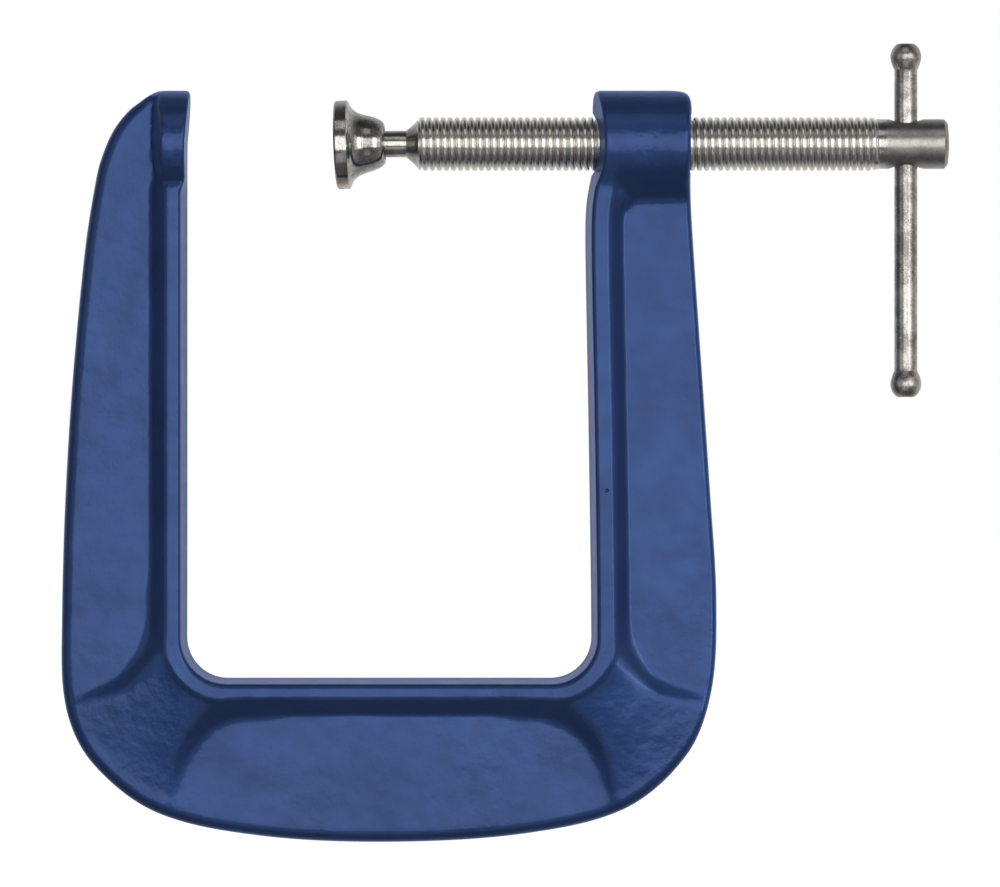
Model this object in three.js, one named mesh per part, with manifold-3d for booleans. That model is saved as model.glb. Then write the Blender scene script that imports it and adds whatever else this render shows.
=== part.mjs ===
// Deep-throat C clamp: a cast frame, a threaded spindle with a ball on its tip,
// a swivel pad closed over the ball, and a T-bar that slides in the spindle's head.
//
// Millimetres, +Z up. The origin is the centre of the anvil's face, on the
// spindle's axis. +X runs from the anvil towards the handle, and the frame is
// symmetric about the plane Y = 0, where the two halves of its mould meet.

import * as THREE from 'three';
import { mergeVertices, toCreasedNormals } from 'three/addons/utils/BufferGeometryUtils.js';
import Module from 'manifold-3d';

const wasm = await Module();
wasm.setup();

// ---------------------------------------------------------------- dimensions

// frame
const throatDepth = 114.3;      // spindle's axis to the bottom of the throat
const jawSpan = 86.7;           // anvil's face to the boss
const barrelRadius = 11.4;      // anvil and boss, both round about the spindle's axis
const bossLength = 20.9;
const bossDraft = [0.19, 0.05]; // how far the boss's two ends lean in, per mm of Y
const anvilLength = 5.4;
const anvilShoulder = 2.8;      // slope from the anvil down to the web
const webHalf = 4.5;            // half the web's thickness
const flangeHalf = 8.5;         // half the inner flange's thickness
const gussetHalf = 6.9;         // half the corner gusset's thickness beside the flange
const rimHalf = 5.1;            // and at the frame's outer edge
const cornerRadius = 8.8;       // throat's bottom corners

// spindle
const pitch = 1.5;
const crestRadius = 5.7;
const rootRadius = 4.8;
const threadStart = 49.0;
const threadEnd = 148.4;
const neckRadius = 2.84;
const neckEnd = 46.8;
const headRadius = 5.3;
const headEnd = 162.6;
const threadSegments = 16;
const threadPlay = 0.2;         // the tapped hole's radii are this much larger

// ball and pad
const padFace = 31.8;           // the pad's face, along the axis from the anvil
const padLength = 10.4;
const ballRadius = 4.15;
const ballCentre = 37.7;
const socketRadius = 4.45;
const pieceGap = 0.3;

// T-bar
const barX = 153.4;
const barRadius = 2.45;
const barLength = 75.4;
const barMiddle = -16.3;        // its middle hangs below the spindle's axis
const knobRadius = 3.3;
const knobLength = 5.6;
const crossHoleRadius = 2.75;
const countersinkRadius = 3.75;

// ----------------------------------------------------------------- materials

const enamel = new THREE.MeshStandardMaterial({ color: 0x1b3a86, roughness: 0.28, metalness: 0 });
const steel = new THREE.MeshStandardMaterial({ color: 0xb9b5ac, roughness: 0.3, metalness: 1 });

// ------------------------------------------------------------------- helpers

function toSolid(geometry) {
  const bare = geometry.index ? geometry.clone() : geometry;
  bare.deleteAttribute('normal');
  bare.deleteAttribute('uv');
  const merged = mergeVertices(bare, 1e-4);
  return new wasm.Manifold(new wasm.Mesh({
    numProp: 3,
    vertProperties: new Float32Array(merged.attributes.position.array),
    triVerts: new Uint32Array(merged.index.array),
  }));
}

function toGeometry(solid) {
  const mesh = solid.getMesh();
  const geometry = new THREE.BufferGeometry();
  geometry.setAttribute('position', new THREE.BufferAttribute(mesh.vertProperties, 3));
  geometry.setIndex(new THREE.BufferAttribute(mesh.triVerts, 1));
  return toCreasedNormals(geometry, Math.PI / 6);
}

// A solid of revolution about the X axis, from [x, radius] points that start and end on it.
function turned(profile, segments) {
  const points = profile.map(([x, radius]) => new THREE.Vector2(radius, x));
  return new THREE.LatheGeometry(points, segments).rotateZ(-Math.PI / 2);
}

// A closed skin over rings of [x, y, z] points, which all have the same count.
// Each ring lies across Y, and the first and last are capped.
function lofted(rings) {
  const count = rings[0].length;
  const index = [];
  for (let k = 0; k + 1 < rings.length; k++) {
    for (let i = 0; i < count; i++) {
      const [a, b] = [k * count + i, k * count + (i + 1) % count];
      index.push(a, b, a + count, b, b + count, a + count);
    }
  }
  for (const [k, flip] of [[0, false], [rings.length - 1, true]]) {
    const flat = rings[k].map(([x, , z]) => new THREE.Vector2(x, z));
    for (const [a, b, c] of THREE.ShapeUtils.triangulateShape(flat, [])) {
      const face = [a, b, c].map((i) => k * count + i);
      index.push(...(flip ? face.reverse() : face));
    }
  }
  const geometry = new THREE.BufferGeometry();
  geometry.setAttribute('position', new THREE.Float32BufferAttribute(rings.flat(2), 3));
  geometry.setIndex(index);
  return geometry;
}

// Unit normals of a run of [x, z] points, to the left of the way it runs.
function normalsOf(points, closed) {
  return points.map((_, i) => {
    const last = points.length - 1;
    const before = points[i > 0 ? i - 1 : closed ? last : 0];
    const after = points[i < last ? i + 1 : closed ? 0 : last];
    const [dx, dz] = [after[0] - before[0], after[1] - before[1]];
    const length = Math.hypot(dx, dz);
    return [-dz / length, dx / length];
  });
}

function offset(points, normals, distance) {
  return points.map(([x, z], i) => [x + normals[i][0] * distance, z + normals[i][1] * distance]);
}

const atDepth = (points, y) => points.map(([x, z]) => [x, y, z]);

function smoothRun(controls, count) {
  const curve = new THREE.SplineCurve(controls.map(([x, z]) => new THREE.Vector2(x, z)));
  return curve.getPoints(count).map(({ x, y }) => [x, y]);
}

// -------------------------------------------------------------- frame casting

// The throat, from the anvil down, across and up to the boss.
function throatRun() {
  const path = new THREE.Path();
  const right = jawSpan - 0.3;
  path.moveTo(0, -6);
  path.lineTo(0, cornerRadius - throatDepth);
  path.absarc(cornerRadius, cornerRadius - throatDepth, cornerRadius, Math.PI, 1.5 * Math.PI);
  path.absarc(right - cornerRadius, cornerRadius - throatDepth, cornerRadius, 1.5 * Math.PI, 2 * Math.PI);
  const back = [[85.7, -58], [85.1, -19], [85.7, -10.5], [86.8, -5]];
  path.splineThru(back.map((p) => new THREE.Vector2(...p)));
  return path.getPoints(6).map(({ x, y }) => [x, y]);
}

// The outside, from the boss down the back arm, round the bottom and up to the anvil's tip.
function outerRun() {
  return smoothRun([
    [107.4, -4], [107.5, -16], [109.2, -40], [111.6, -75], [112.9, -97.5], [111.9, -116.4],
    [106.8, -130], [93.9, -141.5], [73, -146.9], [43.5, -148.8], [14.9, -147.4], [-6.8, -142.4],
    [-20.4, -131.7], [-25.8, -120], [-26.6, -101.9], [-25.2, -63.2], [-21.9, -24.6],
    [-19.1, -6], [-15.4, 3.4], [-9.3, 9.5], [-5.4, 11.2], [-3, 11],
  ], 66);
}

// The thin web: the whole outline, with its outer edge rounded.
function web() {
  const outer = outerRun();
  const outward = normalsOf(outer, false);
  const throat = throatRun();
  const inside = offset(throat, normalsOf(throat, false), -3);
  const level = (y, inset) => {
    const edge = offset(outer, outward, inset);
    return atDepth([...inside, ...edge], y);
  };
  const half = [[0, 0], [webHalf * 0.5, -0.3], [webHalf * 0.85, -1.1], [webHalf, -2.1]];
  const rings = [
    ...half.slice(1).reverse().map(([y, inset]) => level(-y, inset)),
    ...half.map(([y, inset]) => level(y, inset)),
  ];
  return toSolid(lofted(rings));
}

// The thick flange round the throat, with the mould's draft on its inner face.
function flange() {
  const throat = throatRun();
  const outward = normalsOf(throat, false);
  const level = (y, near, far) => atDepth([
    ...offset(throat, outward, -near),
    ...offset(throat, outward, -far).reverse(),
  ], y);
  const half = [[0, 0, 8.1], [4.2, 0.7, 7.7], [flangeHalf - 0.8, 1.3, 5.3], [flangeHalf, 2, 4.5]];
  const rings = [
    ...half.slice(1).reverse().map(([y, near, far]) => level(-y, near, far)),
    ...half.map(([y, near, far]) => level(y, near, far)),
  ];
  return toSolid(lofted(rings));
}

// A gusset whose top falls away from the flange: [x, z, half thickness, slope run]
// for each corner, anticlockwise seen from the front.
function gusset(corners) {
  const points = corners.toReversed();
  const flat = points.map(([x, z]) => [x, z]);
  const outward = normalsOf(flat, true);
  const top = points.map(([x, z, half]) => [x, half, z]);
  const foot = points.map(([x, z, , run], i) => [
    x + outward[i][0] * run, webHalf - 0.4, z + outward[i][1] * run,
  ]);
  const mirror = (ring) => ring.map(([x, y, z]) => [x, -y, z]);
  return toSolid(lofted([mirror(top), mirror(foot), foot, top]));
}

// The bottom corners, between the three web panels.
function cornerGussets() {
  const [near, far] = [gussetHalf, rimHalf];
  const middle = (near + far) / 2;
  const left = [
    [-4.5, -98, near, 2.8], [-5.4, -105, near, 3], [-8.6, -110.8, near, 3],
    [-13, -115.4, middle, 2.4], [-18.5, -117.6, middle, 1.4], [-23.4, -120, far, 0.6],
    [-21.2, -126.2, far, 0.9], [-17.6, -131.6, far, 0.9], [-11.6, -137.2, far, 0.9],
    [-4.4, -140.4, far, 0.6], [-3.6, -136, middle, 1.2], [-1.8, -129.6, middle, 2.4],
    [2.2, -123.4, near, 3], [7, -119.8, near, 3], [14, -119, near, 2.8],
    [14, -117, near, 0], [4, -116.6, near, 0], [-1.4, -112, near, 0],
    [-3.4, -105, near, 0], [-3.4, -98, near, 0],
  ];
  const right = [
    [70, -119, near, 2.8], [79, -119.2, near, 3], [84.6, -122.4, near, 3],
    [88.2, -128.4, middle, 2.4], [90, -134.4, middle, 1.4], [91.2, -139.4, far, 0.6],
    [99, -135, far, 0.9], [104.6, -128.4, far, 0.9], [108.4, -121.2, far, 0.6],
    [103, -118.8, middle, 1.4], [98, -116.6, middle, 2.4], [93.6, -112, near, 3],
    [91.4, -105.8, near, 3], [90.8, -98, near, 2.8], [89.8, -98, near, 0],
    [89.6, -106, near, 0], [86.4, -113, near, 0], [80, -116.8, near, 0], [70, -117, near, 0],
  ];
  return [gusset(left), gusset(right)];
}

// Below the boss, the casting swells up from the back arm's web.
function bossRoot() {
  return gusset([
    [88.4, -6, 8.2, 0], [88.8, -17, gussetHalf, 0], [90.6, -16, gussetHalf, 2.2],
    [92.4, -11.8, gussetHalf, 2.6], [96, -9.8, gussetHalf, 2.6], [105.8, -9.6, 6.6, 1],
    [105.8, -6, 8.2, 0],
  ]);
}

// Anvil and boss, both round about the spindle's axis.
function anvil() {
  const shoulder = -anvilLength - anvilShoulder;
  return toSolid(turned([
    [shoulder, 0], [shoulder, webHalf], [-anvilLength, barrelRadius],
    [-0.7, barrelRadius], [0, barrelRadius - 0.7], [0, 0],
  ], 48));
}

function boss() {
  const [start, end] = [jawSpan, jawSpan + bossLength];
  const barrel = toSolid(turned([
    [start - 1, 0], [start - 1, barrelRadius], [end + 1, barrelRadius], [end + 1, 0],
  ], 48));
  const half = barrelRadius + 1;
  const [lean, back] = bossDraft.map((draft) => draft * half);
  const block = (y, x0, x1) => atDepth([[x0, -half], [x0, half], [x1, half], [x1, -half]], y);
  const slab = toSolid(lofted([
    block(-half, start + lean, end - back), block(0, start, end), block(half, start + lean, end - back),
  ]));
  return barrel.intersect(slab);
}

// A helically threaded bar about X that reaches past both ends. Each column of
// points is one axial zigzag, and the helix shifts each column along the axis,
// so the last column meets the first one pitch further on.
function threadedBar(start, end, crest, root) {
  const first = threadStart + pitch * (Math.floor((start - threadStart) / pitch) - 2);
  const count = 2 * Math.ceil((end - first) / pitch + 3) + 1;
  const position = [];
  for (let j = 0; j < threadSegments; j++) {
    const turn = j / threadSegments;
    const [y, z] = [Math.cos(2 * Math.PI * turn), Math.sin(2 * Math.PI * turn)];
    for (let k = 0; k < count; k++) {
      const radius = k % 2 ? crest : root;
      position.push(first + pitch * (k / 2 + turn), radius * y, radius * z);
    }
  }
  const at = (j, k) => (j < threadSegments ? j * count + k : k + 2);
  const index = [];
  for (let j = 0; j < threadSegments; j++) {
    const reach = j === threadSegments - 1 ? count - 3 : count - 1;
    for (let k = 0; k < reach; k++) {
      index.push(at(j, k), at(j + 1, k), at(j, k + 1));
      index.push(at(j + 1, k), at(j + 1, k + 1), at(j, k + 1));
    }
  }
  const columns = Array.from({ length: threadSegments }, (_, j) => j);
  const lowEdge = [...columns.map((j) => at(j, 0)), at(0, 2), at(0, 1)];
  const lastColumn = threadSegments - 1;
  const highEdge = [
    ...columns.map((j) => at(j, count - 1)), at(lastColumn, count - 2), at(lastColumn, count - 3),
  ];
  const centre = position.length / 3;
  position.push(first + pitch / 2, 0, 0, first + pitch * count / 2, 0, 0);
  lowEdge.forEach((v, i) => index.push(centre, lowEdge[(i + 1) % lowEdge.length], v));
  highEdge.forEach((v, i) => index.push(centre + 1, v, highEdge[(i + 1) % highEdge.length]));
  const geometry = new THREE.BufferGeometry();
  geometry.setAttribute('position', new THREE.Float32BufferAttribute(position, 3));
  geometry.setIndex(index);
  return toSolid(geometry);
}

function tappedHole() {
  const [start, end] = [jawSpan, jawSpan + bossLength];
  const [crest, root] = [crestRadius + threadPlay, rootRadius + threadPlay];
  const mouth = crest + 0.9;
  const taper = mouth - root;
  const leadIns = [
    [[start - 1, 0], [start - 1, mouth + 1], [start + taper, root], [start + taper, 0]],
    [[end - taper, 0], [end - taper, root], [end + 1, mouth + 1], [end + 1, 0]],
  ];
  return leadIns
    .map((profile) => toSolid(turned(profile, 48)))
    .reduce((hole, leadIn) => hole.add(leadIn), threadedBar(start - 1, end + 1, crest, root));
}

function frame() {
  const pieces = [flange(), ...cornerGussets(), bossRoot(), anvil(), boss()];
  return pieces.reduce((whole, piece) => whole.add(piece), web()).subtract(tappedHole());
}

// ------------------------------------------------------- spindle and its ball

// The ball is cut flat where the neck leaves it.
const ballBack = ballCentre + Math.sqrt(ballRadius ** 2 - neckRadius ** 2);

function spindleBall() {
  const rows = 12;
  const last = Math.PI - Math.asin(neckRadius / ballRadius);
  const profile = Array.from({ length: rows + 1 }, (_, i) => {
    const angle = last * i / rows;
    return [ballCentre - ballRadius * Math.cos(angle), ballRadius * Math.sin(angle)];
  });
  profile[0][1] = 0;
  return turned([...profile, [ballBack, 0]], 28);
}

function spindle() {
  const tip = crestRadius - 0.7;
  const envelope = toSolid(turned([
    [threadStart - tip, 0], [threadStart, tip], [threadStart + 0.7, crestRadius + 0.1],
    [threadEnd, crestRadius + 0.1], [threadEnd, 0],
  ], 48));
  const thread = threadedBar(threadStart, threadEnd, crestRadius, rootRadius).intersect(envelope);
  const neckStart = ballBack + pieceGap;
  const neckAndCore = toSolid(turned([
    [neckStart, 0], [neckStart, neckRadius], [neckEnd, neckRadius], [threadStart - 0.1, tip - 0.2],
    [threadStart + 0.6, rootRadius - 0.1], [threadStart + 1.4, rootRadius - 0.4], [threadStart + 1.4, 0],
  ], 40));
  const head = toSolid(turned([
    [threadEnd - 1, 0], [threadEnd - 1, rootRadius - 0.2], [threadEnd, headRadius],
    [headEnd - 1, headRadius], [headEnd - 0.3, headRadius - 0.8], [headEnd, 0],
  ], 40));
  return thread.add(neckAndCore).add(head).subtract(crossHole());
}

// The T-bar's hole through the head, countersunk at both mouths.
function crossHole() {
  const reach = headRadius + 1;
  const sink = headRadius - 0.9;
  const flare = countersinkRadius + 0.9;
  const hole = turned([
    [-reach, 0], [-reach, flare], [-sink, crossHoleRadius], [sink, crossHoleRadius],
    [reach, flare], [reach, 0],
  ], 32);
  return toSolid(hole.rotateY(Math.PI / 2).translate(barX, 0, 0));
}

// ------------------------------------------------------------ pad and T-bar

// The swivel pad: a flat disc with a hub whose lip is closed over the ball.
function swivelPad() {
  const face = padFace;
  const outside = [
    [face, 0], [face, 9.2], [face + 0.3, 9.45], [face + 2.5, 9.45], [face + 2.75, 9.2],
    [face + 3.4, 8.1], [face + 4.6, 7], [face + 6, 6.35], [face + 8, 5.75], [face + 9.3, 5.2],
    [face + 10, 4.7], [face + padLength, 4.1],
  ];
  const lipBack = ballCentre + 2.6;
  const lipRadius = 3.66;
  const rows = 9;
  const open = Math.PI - Math.atan2(lipRadius, lipBack - ballCentre);
  const socket = Array.from({ length: rows + 1 }, (_, i) => {
    const angle = open * (rows - i) / rows;
    return [ballCentre - socketRadius * Math.cos(angle), socketRadius * Math.sin(angle)];
  });
  socket[rows][1] = 0;
  return turned([...outside, [face + padLength, 3.75], ...socket], 32);
}

function tBar() {
  const half = barLength / 2;
  const flat = 1.9;
  const shoulder = half - knobLength;
  const knob = [
    [shoulder, barRadius], [shoulder + 0.7, 3], [shoulder + 2, knobRadius],
    [shoulder + 3.6, 3.2], [half - 0.9, 2.7], [half, flat], [half, 0],
  ];
  const mirrored = knob.toReversed().map(([x, radius]) => [-x, radius]);
  return turned([...mirrored, ...knob], 28).rotateY(-Math.PI / 2);
}

// ------------------------------------------------------------------ assembly

function named(name, geometry, material) {
  const mesh = new THREE.Mesh(geometry, material);
  mesh.name = name;
  return mesh;
}

const bar = named('t_bar', tBar(), steel);
bar.position.set(barX, 0, barMiddle);

const clamp = new THREE.Group();
clamp.add(
  named('frame', toGeometry(frame()), enamel),
  named('spindle', toGeometry(spindle()), steel),
  named('spindle_ball', spindleBall(), steel),
  named('swivel_pad', swivelPad(), steel),
  bar,
);

export default clamp;
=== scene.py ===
"""A deep-throat C clamp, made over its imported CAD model: a cast and enamelled
frame, a plated screw with a ball tip, a swivel pad and a sliding T-bar."""

import math

import bmesh
import bpy
import numpy as np
from mathutils import Euler, Matrix, Vector


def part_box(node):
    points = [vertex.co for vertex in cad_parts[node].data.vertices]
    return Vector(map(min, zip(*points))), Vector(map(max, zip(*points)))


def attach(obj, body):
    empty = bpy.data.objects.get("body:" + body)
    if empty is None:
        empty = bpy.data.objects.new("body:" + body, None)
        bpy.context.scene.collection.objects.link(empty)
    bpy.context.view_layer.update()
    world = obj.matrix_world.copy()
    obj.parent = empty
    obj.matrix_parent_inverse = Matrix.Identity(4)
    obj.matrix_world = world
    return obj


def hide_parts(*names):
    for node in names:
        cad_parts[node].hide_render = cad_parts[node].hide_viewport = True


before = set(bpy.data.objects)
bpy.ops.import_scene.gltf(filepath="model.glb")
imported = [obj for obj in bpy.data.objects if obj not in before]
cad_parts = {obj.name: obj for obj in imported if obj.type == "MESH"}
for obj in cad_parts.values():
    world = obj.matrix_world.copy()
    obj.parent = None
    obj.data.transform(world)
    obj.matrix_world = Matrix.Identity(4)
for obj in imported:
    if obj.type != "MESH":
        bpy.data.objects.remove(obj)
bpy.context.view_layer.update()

bl_info = {
    "name": "C clamp maker",
    "version": (1, 0, 0),
    "blender": (4, 5, 0),
    "location": "View3D > Sidebar > C clamp",
    "description": "Makes the visible pieces of a deep-throat C clamp over its CAD frame",
    "category": "Object",
}

MM = 0.001
CREASE = 32     # edges bent further than this, in degrees, stay sharp


def cad_low(node, axis):
    """Lowest coordinate of a CAD node along an axis, in metres."""
    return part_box(node)[0][axis]


def cad_high(node, axis):
    """Highest coordinate of a CAD node along an axis, in metres."""
    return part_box(node)[1][axis]


def bar_axis():
    """Where the T-bar's axis stands along X, in millimetres."""
    return (cad_low("t_bar", 0) + cad_high("t_bar", 0)) / 2 / MM


# ------------------------------------------------------------------- settings


def length(name, description, default, low=0.0):
    """A length in metres that a user may change."""
    return bpy.props.FloatProperty(
        name=name, description=description, default=default, min=low, unit="LENGTH", precision=5
    )


def tilt(name, description, degrees):
    """An angle that a user may change."""
    return bpy.props.FloatProperty(
        name=name, description=description, default=math.radians(degrees), subtype="ANGLE"
    )


def whole(name, description, default, low, high):
    """A whole number that a user may change."""
    return bpy.props.IntProperty(
        name=name, description=description, default=default, min=low, max=high
    )


def colour(name, description, default):
    """A colour that a user may change."""
    return bpy.props.FloatVectorProperty(
        name=name, description=description, default=default, size=3, min=0.0, max=1.0,
        subtype="COLOR",
    )


class CastingSizes(bpy.types.PropertyGroup):
    """Sizes of the cast frame."""

    throat_depth: length(
        "Throat depth", "From the screw's axis to the bottom of the throat", 0.1143
    )
    jaw_span: length("Jaw span", "From the anvil's face to the boss", 0.0867)
    barrel_radius: length("Barrel radius", "Of the anvil and the boss", 0.0114)
    boss_length: length("Boss length", "Along the screw's axis", 0.0209)
    web_half: length("Half web", "Half the thin web's thickness", 0.0045)
    flange_half: length("Half flange", "Half the thickness of the flange round the throat", 0.0085)
    rim_half: length("Half rim", "Half the corner gussets' thickness at the outer edge", 0.0051)
    corner_radius: length("Corner radius", "Of the throat's two bottom corners", 0.0088)
    flange_width: length("Flange width", "From the throat to the flange's outer edge", 0.00455)
    waviness: length("Waviness", "How far the sand mould's skin wanders", 0.00007)


class ScrewSizes(bpy.types.PropertyGroup):
    """Sizes of the threaded spindle and its ball."""

    pitch: length("Pitch", "Advance for one turn", 0.0015)
    crest_radius: length("Crest radius", "Outside radius of the thread", 0.0057)
    root_radius: length("Root radius", "Radius at the bottom of the thread", 0.0048)
    thread_start: length("Thread start", "Where the thread starts behind the neck", 0.0490)
    thread_end: length("Thread end", "Where the thread runs out at the head", 0.1484)
    neck_radius: length("Neck radius", "Of the neck behind the ball", 0.00284)
    neck_end: length("Neck end", "Where the neck's cone starts", 0.0468)
    head_radius: length("Head radius", "Of the head that holds the T-bar", 0.0053)
    ball_radius: length("Ball radius", "Of the ball inside the pad", 0.00415)
    ball_centre: length("Ball centre", "From the anvil's face, along the axis", 0.0377)
    play: length("Play", "How much larger the tapped hole is than the thread", 0.0002)
    around: whole("Steps a turn", "Points round the thread", 64, 16, 128)
    rows: whole("Rows a pitch", "Points along one pitch", 14, 6, 24)


class PadSizes(bpy.types.PropertyGroup):
    """Sizes of the swivel pad."""

    rim_radius: length("Rim radius", "Outside radius of the pad's disc", 0.00945)
    rim_width: length("Rim width", "Thickness of the disc at its rim", 0.0027)
    socket_radius: length("Socket radius", "Of the socket round the ball", 0.00445)
    lip_radius: length("Lip radius", "Of the opening that the neck passes", 0.00366)
    droop: tilt("Droop", "How far the loose pad hangs over", 2.0)
    turn: tilt("Turn", "How far the loose pad is turned aside", -3.0)


class BarSizes(bpy.types.PropertyGroup):
    """Sizes of the T-bar."""

    bar_radius: length("Bar radius", "Of the bar between its knobs", 0.00245)
    knob_radius: length("Knob radius", "Of the headed ends", 0.0033)
    knob_length: length("Knob length", "Of each headed end", 0.0056)
    hole_radius: length("Hole radius", "Of the hole through the screw's head", 0.00275)
    sink_radius: length("Countersink radius", "Of the hole's two mouths", 0.00375)


class Finishes(bpy.types.PropertyGroup):
    """Colours and gloss of the clamp's finishes."""

    enamel: colour("Enamel", "The frame's blue enamel", (0.031, 0.078, 0.250))
    enamel_deep: colour("Deep enamel", "Where the enamel lies thick", (0.025, 0.064, 0.212))
    iron: colour("Iron", "Bare cast iron in chips and pits", (0.020, 0.026, 0.055))
    plate: colour("Plating", "The screw's bright plating", (0.72, 0.69, 0.65))
    # Painted shade: the colour painted into the thread's root, standing in for the shade between its
    # flanks.
    root_shade: colour("Oil", "Old oil in the thread's root", (0.055, 0.050, 0.045))


class StudioSettings(bpy.types.PropertyGroup):
    """The floor, the lights and the camera."""

    backdrop: colour("Backdrop", "The pale floor and what is behind the object", (1.0, 1.0, 1.0))
    distance: length("Camera distance", "From the lens to the clamp", 2.0)
    centre_x: length("Centre across", "What the camera looks at, along X", 0.0668, low=-1.0)
    centre_z: length("Centre up", "What the camera looks at, along Z", -0.0639, low=-1.0)
    view_width: length("View width", "How much the picture takes in, across", 0.2134)


# -------------------------------------------------------------- mesh workshop


def mesh_of(name, vertices, faces):
    """A mesh from millimetre points and faces, its doubles merged, faces outwards."""
    mesh = bpy.data.meshes.new(name)
    scaled = [[axis * MM for axis in point] for point in vertices]
    mesh.from_pydata(scaled, [], faces)
    return tidy(mesh)


def tidy(mesh):
    """Merges doubled points, drops flat faces and turns every face outwards."""
    bm = bmesh.new()
    bm.from_mesh(mesh)
    bmesh.ops.remove_doubles(bm, verts=bm.verts, dist=0.0004 * MM)
    bmesh.ops.dissolve_degenerate(bm, edges=bm.edges, dist=0.0002 * MM)
    bmesh.ops.recalc_face_normals(bm, faces=bm.faces)
    if bm.calc_volume(signed=True) < 0:
        bmesh.ops.reverse_faces(bm, faces=bm.faces)
    bm.to_mesh(mesh)
    bm.free()
    return mesh


def shaded(mesh, crease):
    """Smooth shading, with edges sharp past the crease angle in degrees."""
    mesh.shade_smooth()
    mesh.set_sharp_from_angle(angle=math.radians(crease))


def make_piece(name, mesh, material):
    """A smooth-shaded object at the origin."""
    mesh.materials.clear()
    mesh.materials.append(material)
    shaded(mesh, CREASE)
    obj = bpy.data.objects.new(name, mesh)
    bpy.context.scene.collection.objects.link(obj)
    return obj


def turned(profile, segments):
    """Points and faces of a solid of revolution about X, from (x, radius) pairs."""
    vertices = []
    rings = []
    for x, radius in profile:
        if radius < 1e-6:
            rings.append([len(vertices)] * segments)
            vertices.append((x, 0.0, 0.0))
            continue
        rings.append(list(range(len(vertices), len(vertices) + segments)))
        for j in range(segments):
            angle = 2 * math.pi * j / segments
            vertices.append((x, radius * math.cos(angle), radius * math.sin(angle)))
    faces = []
    for low, high in zip(rings, rings[1:]):
        for j in range(segments):
            k = (j + 1) % segments
            corners = [low[j], low[k], high[k], high[j]]
            face = [c for i, c in enumerate(corners) if c not in corners[:i]]
            if len(face) > 2:
                faces.append(face)
    return vertices, faces


def turned_mesh(name, profile, segments, upright_at=None):
    """A closed solid of revolution about X, or stood along Z at a place along X."""
    vertices, faces = turned(profile, segments)
    if upright_at is not None:
        vertices = [(upright_at + z, y, x) for x, y, z in vertices]
    return mesh_of(name, vertices, faces)


def eased(profile, radius, steps=5):
    """A profile with its inner corners rounded to a radius, or less where a side is short."""
    points = [Vector(p) for p in profile]
    result = [points[0]]
    for before, corner, after in zip(points, points[1:], points[2:]):
        into, out = (corner - before), (after - corner)
        bend = into.angle(out, 0.0)
        if bend < math.radians(6):
            result.append(corner)
            continue
        reach = min(radius * math.tan(bend / 2), into.length * 0.45, out.length * 0.45)
        start = corner - into.normalized() * reach
        end = corner + out.normalized() * reach
        for i in range(steps + 1):
            t = i / steps
            result.append(start.lerp(corner, t).lerp(corner.lerp(end, t), t))
    result.append(points[-1])
    return [tuple(p) for p in result]


def smooth_line(points, step):
    """A smooth curve through the points, as points about a step apart."""
    points = np.asarray(points, float)
    padded = np.vstack([2 * points[0] - points[1], points, 2 * points[-1] - points[-2]])
    line = []
    for a, b, c, d in zip(padded, padded[1:], padded[2:], padded[3:]):
        count = max(2, int(np.linalg.norm(c - b) / step))
        tension_in = np.linalg.norm(c - b) / (np.linalg.norm(c - b) + np.linalg.norm(b - a))
        tension_out = np.linalg.norm(c - b) / (np.linalg.norm(c - b) + np.linalg.norm(d - c))
        leave = (c - a) * tension_in
        arrive = (d - b) * tension_out
        for t in np.linspace(0, 1, count, endpoint=False):
            line.append(
                (2 * t**3 - 3 * t**2 + 1) * b
                + (t**3 - 2 * t**2 + t) * leave
                + (3 * t**2 - 2 * t**3) * c
                + (t**3 - t**2) * arrive
            )
    line.append(points[-1])
    return np.array(line)


def along(line):
    """Distance along a line at each of its points."""
    steps = np.linalg.norm(np.diff(line, axis=0), axis=1)
    return np.concatenate([[0.0], np.cumsum(steps)])


def at_distance(line, distance):
    """Points at the given distances along a line."""
    travelled = along(line)
    return np.stack([np.interp(distance, travelled, line[:, i]) for i in range(2)], axis=1)


def nearest_distance(line, point):
    """Distance along a line to its nearest point."""
    gaps = np.linalg.norm(line - np.asarray(point, float), axis=1)
    return along(line)[int(np.argmin(gaps))]


def left_normals(line):
    """Unit normals to the left of the way a line runs."""
    slope = np.gradient(line, axis=0)
    slope /= np.linalg.norm(slope, axis=1, keepdims=True)
    return np.stack([-slope[:, 1], slope[:, 0]], axis=1)


def distance_to(line, points):
    """Distance from each point to a line of short segments."""
    best = np.full(len(points), 1e9)
    for a, b in zip(line, line[1:]):
        side = b - a
        t = np.clip(((points - a) @ side) / max(side @ side, 1e-12), 0, 1)
        gap = points - (a + t[:, None] * side)
        best = np.minimum(best, np.einsum("ij,ij->i", gap, gap))
    return np.sqrt(best)


def inside(polygon, points):
    """Which points lie inside a closed polygon."""
    within = np.zeros(len(points), bool)
    x, z = points[:, 0], points[:, 1]
    for (ax, az), (bx, bz) in zip(polygon, np.roll(polygon, -1, axis=0)):
        crosses = (az > z) != (bz > z)
        reach = ax + (z - az) * (bx - ax) / (bz - az + 1e-12)
        within ^= crosses & (x < reach)
    return within


def soft_max(a, b, blend):
    """The larger of two heights, with a fillet where they meet."""
    near = np.clip(1 - np.abs(a - b) / (2 * blend), 0, 1)
    return np.maximum(a, b) + 0.5 * blend * near**2


def soft_min(a, b, blend):
    """The smaller of two heights, with a rounded edge where they meet."""
    near = np.clip(1 - np.abs(a - b) / (2 * blend), 0, 1)
    return np.minimum(a, b) - 0.5 * blend * near**2


def ramp(values, low, high):
    """Smooth step from 0 at low to 1 at high."""
    t = np.clip((np.asarray(values, float) - low) / (high - low), 0, 1)
    return t * t * (3 - 2 * t)


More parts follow.
